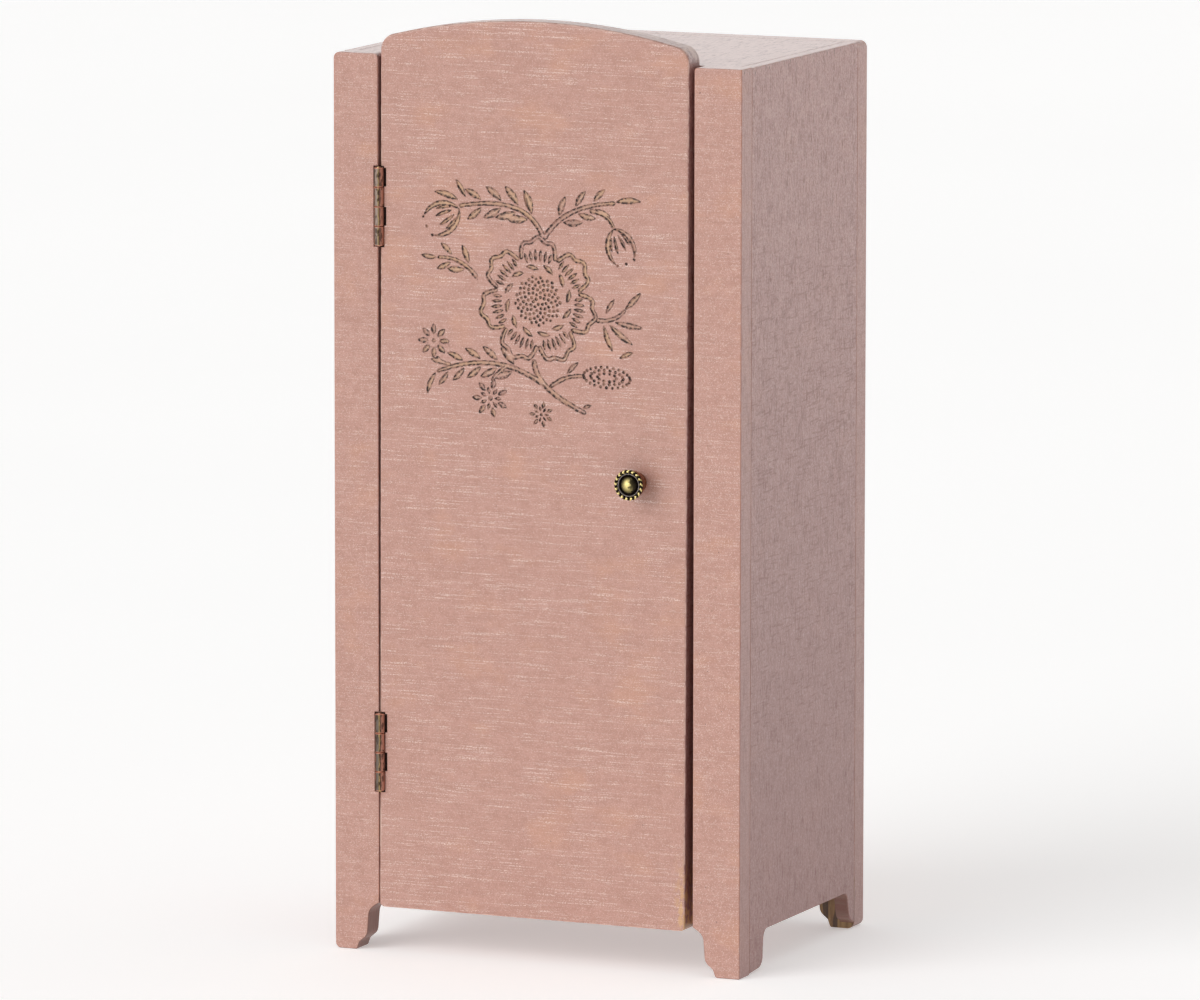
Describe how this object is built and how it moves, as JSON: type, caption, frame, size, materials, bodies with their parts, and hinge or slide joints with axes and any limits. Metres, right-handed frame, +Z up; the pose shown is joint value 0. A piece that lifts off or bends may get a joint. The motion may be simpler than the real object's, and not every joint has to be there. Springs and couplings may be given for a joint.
{
  "type": "miniature wardrobe",
  "caption": "Miniature painted wardrobe: a board case on ogee feet with an arched, hinged front door, a round knob, and a clothes rail inside.",
  "frame": {"origin": "on the floor, under the middle of the whole outline, knob included", "axes": "+Z up; the door faces -Y; the door hangs on the -X side and its free edge is towards +X"},
  "size_m": [0.1, 0.0808, 0.2145],
  "materials": {
    "painted_board": "matt dusty pink paint brushed on board, with fine brush streaks and rubbed arrises",
    "rail_wood": "bare turned hardwood dowel, sanded",
    "antique_brass": "darkened antique brass, rubbed bright on the high points",
    "bright_steel": "plain bright steel wire and screw stock",
    "magnet_nickel": "nickel-plated disc magnet"
  },
  "bodies": {
    "case": {"left_side_panel": "painted_board", "right_side_panel": "painted_board", "top_panel": "painted_board", "bottom_panel": "painted_board", "back_panel": "painted_board", "left_stile": "painted_board", "right_stile": "painted_board", "clothes_rail": "rail_wood", "catch_magnet": "magnet_nickel", "upper_hinge_case_leaf": "antique_brass", "lower_hinge_case_leaf": "antique_brass", "upper_hinge_pin": "antique_brass", "lower_hinge_pin": "antique_brass", "case_hinge_nails": "antique_brass", "side_brads": "bright_steel", "back_brads": "bright_steel", "stile_brads": "bright_steel"},
    "door": {"door_panel": "painted_board", "knob": "antique_brass", "knob_screw": "bright_steel", "catch_plate": "bright_steel", "upper_hinge_door_leaf": "antique_brass", "lower_hinge_door_leaf": "antique_brass", "door_hinge_nails": "antique_brass"}
  },
  "joints": [
    {"name": "door_swing", "type": "hinge", "parent": "case", "child": "door", "pos_m": [-0.0386, -0.0349, 0.108], "axis": [0, 0, -1], "range_deg": [0, 175]}
  ]
}
